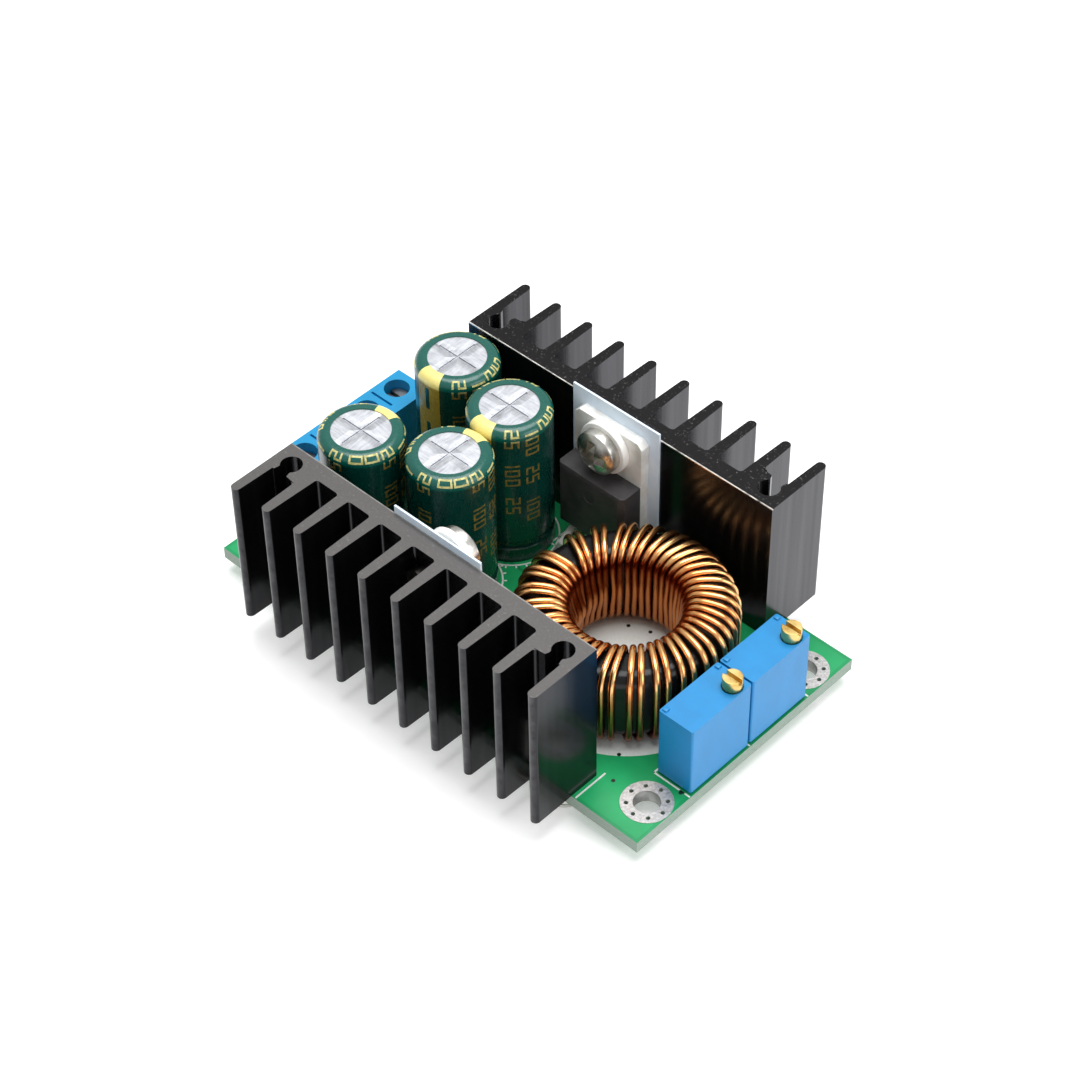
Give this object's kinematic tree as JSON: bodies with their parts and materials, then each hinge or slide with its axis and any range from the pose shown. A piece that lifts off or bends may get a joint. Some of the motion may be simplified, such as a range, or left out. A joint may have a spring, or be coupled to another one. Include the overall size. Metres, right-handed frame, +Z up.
{
  "type": "buck converter module",
  "caption": "Step-down converter board between two finned heatsinks, with a wound toroid, upright capacitors, trimmers and screw terminals.",
  "frame": {"origin": "centre of the four mounting holes, on the underside of the board", "axes": "+X from the screw terminals to the trimmers along the board, +Z up out of the component side"},
  "size_m": [0.0655, 0.047, 0.0244],
  "materials": {
    "solder_mask": "semi-gloss green solder mask on glass laminate",
    "tinned_pad": "hot-tinned copper, speckled",
    "solder": "bright solder",
    "black_anodised": "black anodised extrusion, satin, with sawn ends",
    "zinc_steel": "bright zinc plate",
    "silicone_sheet": "matte pale blue insulating sheet",
    "epoxy_mould": "matte black moulding compound",
    "tinned_tab": "tin-plated copper, dull bright",
    "nylon_bush": "white nylon",
    "printed_sleeve": "dark teal shrink sleeve with gold stripe",
    "can_aluminium": "bright drawn aluminium",
    "bung_rubber": "black rubber",
    "coated_core": "black epoxy-coated powder core",
    "enamelled_copper": "enamelled copper wire, glossy",
    "blue_case": "blue moulded case, semi-gloss",
    "brass_screw": "turned brass",
    "blue_nylon": "blue moulded nylon, semi-gloss",
    "nickel_cage": "nickel-plated brass",
    "resistor_chip": "black chip body",
    "ceramic_chip": "tan ceramic chip",
    "led_chip": "clear lens on a pale chip"
  },
  "bodies": {
    "module": {"circuit_board": "solder_mask", "hole_pads": "tinned_pad", "solder_joints": "solder", "heatsink_near": "black_anodised", "heatsink_far": "black_anodised", "heatsink_screws": "zinc_steel", "insulator_near": "silicone_sheet", "insulator_far": "silicone_sheet", "regulator_body": "epoxy_mould", "regulator_tab": "tinned_tab", "regulator_leads": "tinned_tab", "diode_body": "epoxy_mould", "diode_tab": "tinned_tab", "diode_leads": "tinned_tab", "shoulder_bushes": "nylon_bush", "device_screws": "zinc_steel", "capacitor_1_sleeve": "printed_sleeve", "capacitor_1_can": "can_aluminium", "capacitor_1_bung": "bung_rubber", "capacitor_1_leads": "tinned_tab", "capacitor_2_sleeve": "printed_sleeve", "capacitor_2_can": "can_aluminium", "capacitor_2_bung": "bung_rubber", "capacitor_2_leads": "tinned_tab", "capacitor_3_sleeve": "printed_sleeve", "capacitor_3_can": "can_aluminium", "capacitor_3_bung": "bung_rubber", "capacitor_3_leads": "tinned_tab", "capacitor_4_sleeve": "printed_sleeve", "capacitor_4_can": "can_aluminium", "capacitor_4_bung": "bung_rubber", "capacitor_4_leads": "tinned_tab", "inductor_core": "coated_core", "winding_strand_a": "enamelled_copper", "winding_strand_b": "enamelled_copper", "trimmer_1_body": "blue_case", "trimmer_1_pins": "tinned_tab", "trimmer_2_body": "blue_case", "trimmer_2_pins": "tinned_tab", "terminal_1_housing": "blue_nylon", "terminal_2_housing": "blue_nylon", "terminal_contacts": "tinned_tab", "amplifier_body": "epoxy_mould", "amplifier_leads": "tinned_tab", "voltage_reference": "epoxy_mould", "sense_resistor": "resistor_chip", "chip_resistors": "resistor_chip", "chip_capacitors": "ceramic_chip", "indicator_leds": "led_chip"},
    "trimmer_1_screw": {"trimmer_1_screw": "brass_screw"},
    "trimmer_2_screw": {"trimmer_2_screw": "brass_screw"},
    "clamp_screw_1": {"clamp_screw_1": "zinc_steel"},
    "clamp_screw_2": {"clamp_screw_2": "zinc_steel"},
    "clamp_screw_3": {"clamp_screw_3": "zinc_steel"},
    "clamp_screw_4": {"clamp_screw_4": "zinc_steel"},
    "clamp_cage_1": {"clamp_cage_1": "nickel_cage"},
    "clamp_cage_2": {"clamp_cage_2": "nickel_cage"},
    "clamp_cage_3": {"clamp_cage_3": "nickel_cage"},
    "clamp_cage_4": {"clamp_cage_4": "nickel_cage"}
  },
  "joints": [
    {"name": "clamp_screw_1_turn", "type": "hinge", "parent": "module", "child": "clamp_screw_1", "pos_m": [-0.0292, -0.0072, 0.009], "axis": [0, 0, -1], "range_deg": [0, 1080]},
    {"name": "clamp_cage_1_rise", "type": "slide", "parent": "module", "child": "clamp_cage_1", "axis": [0, 0, 1], "range_m": [0, 0.00135]},
    {"name": "clamp_screw_2_turn", "type": "hinge", "parent": "module", "child": "clamp_screw_2", "pos_m": [-0.0292, -0.0022, 0.009], "axis": [0, 0, -1], "range_deg": [0, 1080]},
    {"name": "clamp_cage_2_rise", "type": "slide", "parent": "module", "child": "clamp_cage_2", "axis": [0, 0, 1], "range_m": [0, 0.00135]},
    {"name": "clamp_screw_3_turn", "type": "hinge", "parent": "module", "child": "clamp_screw_3", "pos_m": [-0.0292, 0.0028, 0.009], "axis": [0, 0, -1], "range_deg": [0, 1080]},
    {"name": "clamp_cage_3_rise", "type": "slide", "parent": "module", "child": "clamp_cage_3", "axis": [0, 0, 1], "range_m": [0, 0.00135]},
    {"name": "clamp_screw_4_turn", "type": "hinge", "parent": "module", "child": "clamp_screw_4", "pos_m": [-0.0292, 0.0078, 0.009], "axis": [0, 0, -1], "range_deg": [0, 1080]},
    {"name": "clamp_cage_4_rise", "type": "slide", "parent": "module", "child": "clamp_cage_4", "axis": [0, 0, 1], "range_m": [0, 0.00135]},
    {"name": "trimmer_1_turn", "type": "hinge", "parent": "module", "child": "trimmer_1_screw", "pos_m": [0.0309, -0.00128, 0.01163], "axis": [0, 0, 1], "continuous": true},
    {"name": "trimmer_2_turn", "type": "hinge", "parent": "module", "child": "trimmer_2_screw", "pos_m": [0.0309, 0.00851, 0.01163], "axis": [0, 0, 1], "continuous": true}
  ],
  "couplings": [
    {"joint": "clamp_screw_1_turn", "follows": "clamp_cage_1_rise", "rad_per_m": 13963},
    {"joint": "clamp_screw_2_turn", "follows": "clamp_cage_2_rise", "rad_per_m": 13963},
    {"joint": "clamp_screw_3_turn", "follows": "clamp_cage_3_rise", "rad_per_m": 13963},
    {"joint": "clamp_screw_4_turn", "follows": "clamp_cage_4_rise", "rad_per_m": 13963}
  ]
}
